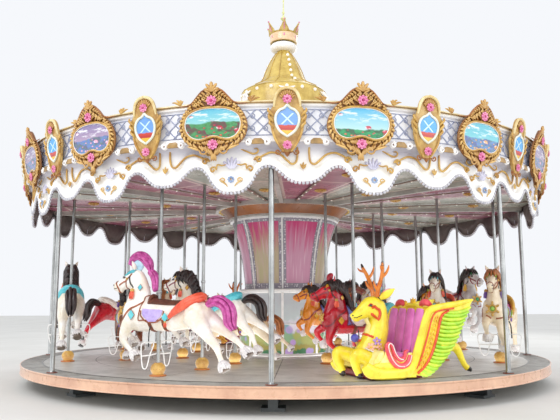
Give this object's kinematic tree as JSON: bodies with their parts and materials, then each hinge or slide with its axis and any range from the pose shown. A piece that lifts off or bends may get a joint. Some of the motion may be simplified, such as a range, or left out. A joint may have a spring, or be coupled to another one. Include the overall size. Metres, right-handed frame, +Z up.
{
  "type": "fairground carousel",
  "caption": "Three-abreast fairground carousel: turning deck and crowned canopy on a fixed base, with galloping horses on rising poles and deer chariots.",
  "frame": {"origin": "on the ground at the turning axis", "axes": "+Z up along the turning axis, -Y towards the front of the ride"},
  "size_m": [9.3396, 9.3396, 7.6],
  "materials": {
    "dark_steel": "satin",
    "steel": "satin",
    "deck_plate": "satin",
    "peach_band": "gloss",
    "white_grp": "gloss",
    "gold_grp": "gloss",
    "dome_gold": "gloss",
    "amber": "gloss",
    "column_panel": "gloss",
    "ceiling_panel": "satin",
    "roof_cream": "satin",
    "horse_white": "gloss",
    "horse_orange": "gloss",
    "horse_red": "gloss",
    "horse_cream": "gloss",
    "horse_brown": "gloss",
    "deer_yellow": "gloss",
    "seat_magenta": "gloss",
    "deer_wine": "gloss",
    "seat_purple": "gloss"
  },
  "bodies": {
    "base": {"base_frame": "dark_steel", "slewing_ring": "steel"},
    "rotor": {"deck_frame": "dark_steel", "deck": "deck_plate", "deck_tread_ring": "deck_plate", "deck_rim": "peach_band", "canopy_pole_1": "steel", "canopy_pole_2": "steel", "canopy_pole_3": "steel", "canopy_pole_4": "steel", "canopy_pole_5": "steel", "canopy_pole_6": "steel", "canopy_pole_7": "steel", "canopy_pole_8": "steel", "column_drum": "column_panel", "column_flare": "column_panel", "hub_band": "amber", "ceiling": "ceiling_panel", "ceiling_arms": "steel", "cornice_band": "white_grp", "valance": "white_grp", "picture_frames": "gold_grp", "roof": "roof_cream", "dome_base": "white_grp", "dome": "dome_gold", "crown_cushion": "white_grp", "crown": "dome_gold", "spire": "dome_gold", "deer_chariot_1": "deer_yellow", "chariot_seat_1": "seat_magenta", "deer_chariot_2": "deer_wine", "chariot_seat_2": "seat_purple"},
    "outer_horse_1": {"outer_horse_1": "horse_white"},
    "outer_horse_3": {"outer_horse_3": "horse_cream"},
    "outer_horse_4": {"outer_horse_4": "horse_brown"},
    "outer_horse_5": {"outer_horse_5": "horse_white"},
    "outer_horse_7": {"outer_horse_7": "horse_red"},
    "outer_horse_8": {"outer_horse_8": "horse_white"},
    "middle_horse_1": {"middle_horse_1": "horse_white"},
    "middle_horse_2": {"middle_horse_2": "horse_red"},
    "middle_horse_3": {"middle_horse_3": "horse_white"},
    "middle_horse_4": {"middle_horse_4": "horse_orange"},
    "middle_horse_5": {"middle_horse_5": "horse_brown"},
    "middle_horse_6": {"middle_horse_6": "horse_white"},
    "middle_horse_7": {"middle_horse_7": "horse_cream"},
    "middle_horse_8": {"middle_horse_8": "horse_brown"},
    "inner_horse_1": {"inner_horse_1": "horse_cream"},
    "inner_horse_2": {"inner_horse_2": "horse_orange"},
    "inner_horse_3": {"inner_horse_3": "horse_white"},
    "inner_horse_4": {"inner_horse_4": "horse_white"},
    "inner_horse_5": {"inner_horse_5": "horse_red"},
    "inner_horse_6": {"inner_horse_6": "horse_cream"},
    "inner_horse_7": {"inner_horse_7": "horse_brown"},
    "inner_horse_8": {"inner_horse_8": "horse_white"}
  },
  "joints": [
    {"name": "platform_turn", "type": "hinge", "parent": "base", "child": "rotor", "pos_m": [0, 0, 0], "axis": [0, 0, 1], "continuous": true},
    {"name": "outer_rise_1", "type": "slide", "parent": "rotor", "child": "outer_horse_1", "axis": [0, 0, 1], "range_m": [-0.04, 0.2]},
    {"name": "outer_rise_3", "type": "slide", "parent": "rotor", "child": "outer_horse_3", "axis": [0, 0, 1], "range_m": [-0.04, 0.2]},
    {"name": "outer_rise_4", "type": "slide", "parent": "rotor", "child": "outer_horse_4", "axis": [0, 0, 1], "range_m": [-0.2, 0.04]},
    {"name": "outer_rise_5", "type": "slide", "parent": "rotor", "child": "outer_horse_5", "axis": [0, 0, 1], "range_m": [-0.04, 0.2]},
    {"name": "outer_rise_7", "type": "slide", "parent": "rotor", "child": "outer_horse_7", "axis": [0, 0, 1], "range_m": [-0.04, 0.2]},
    {"name": "outer_rise_8", "type": "slide", "parent": "rotor", "child": "outer_horse_8", "axis": [0, 0, 1], "range_m": [-0.2, 0.04]},
    {"name": "middle_rise_1", "type": "slide", "parent": "rotor", "child": "middle_horse_1", "axis": [0, 0, 1], "range_m": [-0.2, 0.04]},
    {"name": "middle_rise_2", "type": "slide", "parent": "rotor", "child": "middle_horse_2", "axis": [0, 0, 1], "range_m": [-0.04, 0.2]},
    {"name": "middle_rise_3", "type": "slide", "parent": "rotor", "child": "middle_horse_3", "axis": [0, 0, 1], "range_m": [-0.2, 0.04]},
    {"name": "middle_rise_4", "type": "slide", "parent": "rotor", "child": "middle_horse_4", "axis": [0, 0, 1], "range_m": [-0.04, 0.2]},
    {"name": "middle_rise_5", "type": "slide", "parent": "rotor", "child": "middle_horse_5", "axis": [0, 0, 1], "range_m": [-0.2, 0.04]},
    {"name": "middle_rise_6", "type": "slide", "parent": "rotor", "child": "middle_horse_6", "axis": [0, 0, 1], "range_m": [-0.04, 0.2]},
    {"name": "middle_rise_7", "type": "slide", "parent": "rotor", "child": "middle_horse_7", "axis": [0, 0, 1], "range_m": [-0.2, 0.04]},
    {"name": "middle_rise_8", "type": "slide", "parent": "rotor", "child": "middle_horse_8", "axis": [0, 0, 1], "range_m": [-0.04, 0.2]},
    {"name": "inner_rise_1", "type": "slide", "parent": "rotor", "child": "inner_horse_1", "axis": [0, 0, 1], "range_m": [-0.04, 0.2]},
    {"name": "inner_rise_2", "type": "slide", "parent": "rotor", "child": "inner_horse_2", "axis": [0, 0, 1], "range_m": [-0.2, 0.04]},
    {"name": "inner_rise_3", "type": "slide", "parent": "rotor", "child": "inner_horse_3", "axis": [0, 0, 1], "range_m": [-0.04, 0.2]},
    {"name": "inner_rise_4", "type": "slide", "parent": "rotor", "child": "inner_horse_4", "axis": [0, 0, 1], "range_m": [-0.2, 0.04]},
    {"name": "inner_rise_5", "type": "slide", "parent": "rotor", "child": "inner_horse_5", "axis": [0, 0, 1], "range_m": [-0.04, 0.2]},
    {"name": "inner_rise_6", "type": "slide", "parent": "rotor", "child": "inner_horse_6", "axis": [0, 0, 1], "range_m": [-0.2, 0.04]},
    {"name": "inner_rise_7", "type": "slide", "parent": "rotor", "child": "inner_horse_7", "axis": [0, 0, 1], "range_m": [-0.04, 0.2]},
    {"name": "inner_rise_8", "type": "slide", "parent": "rotor", "child": "inner_horse_8", "axis": [0, 0, 1], "range_m": [-0.2, 0.04]}
  ]
}
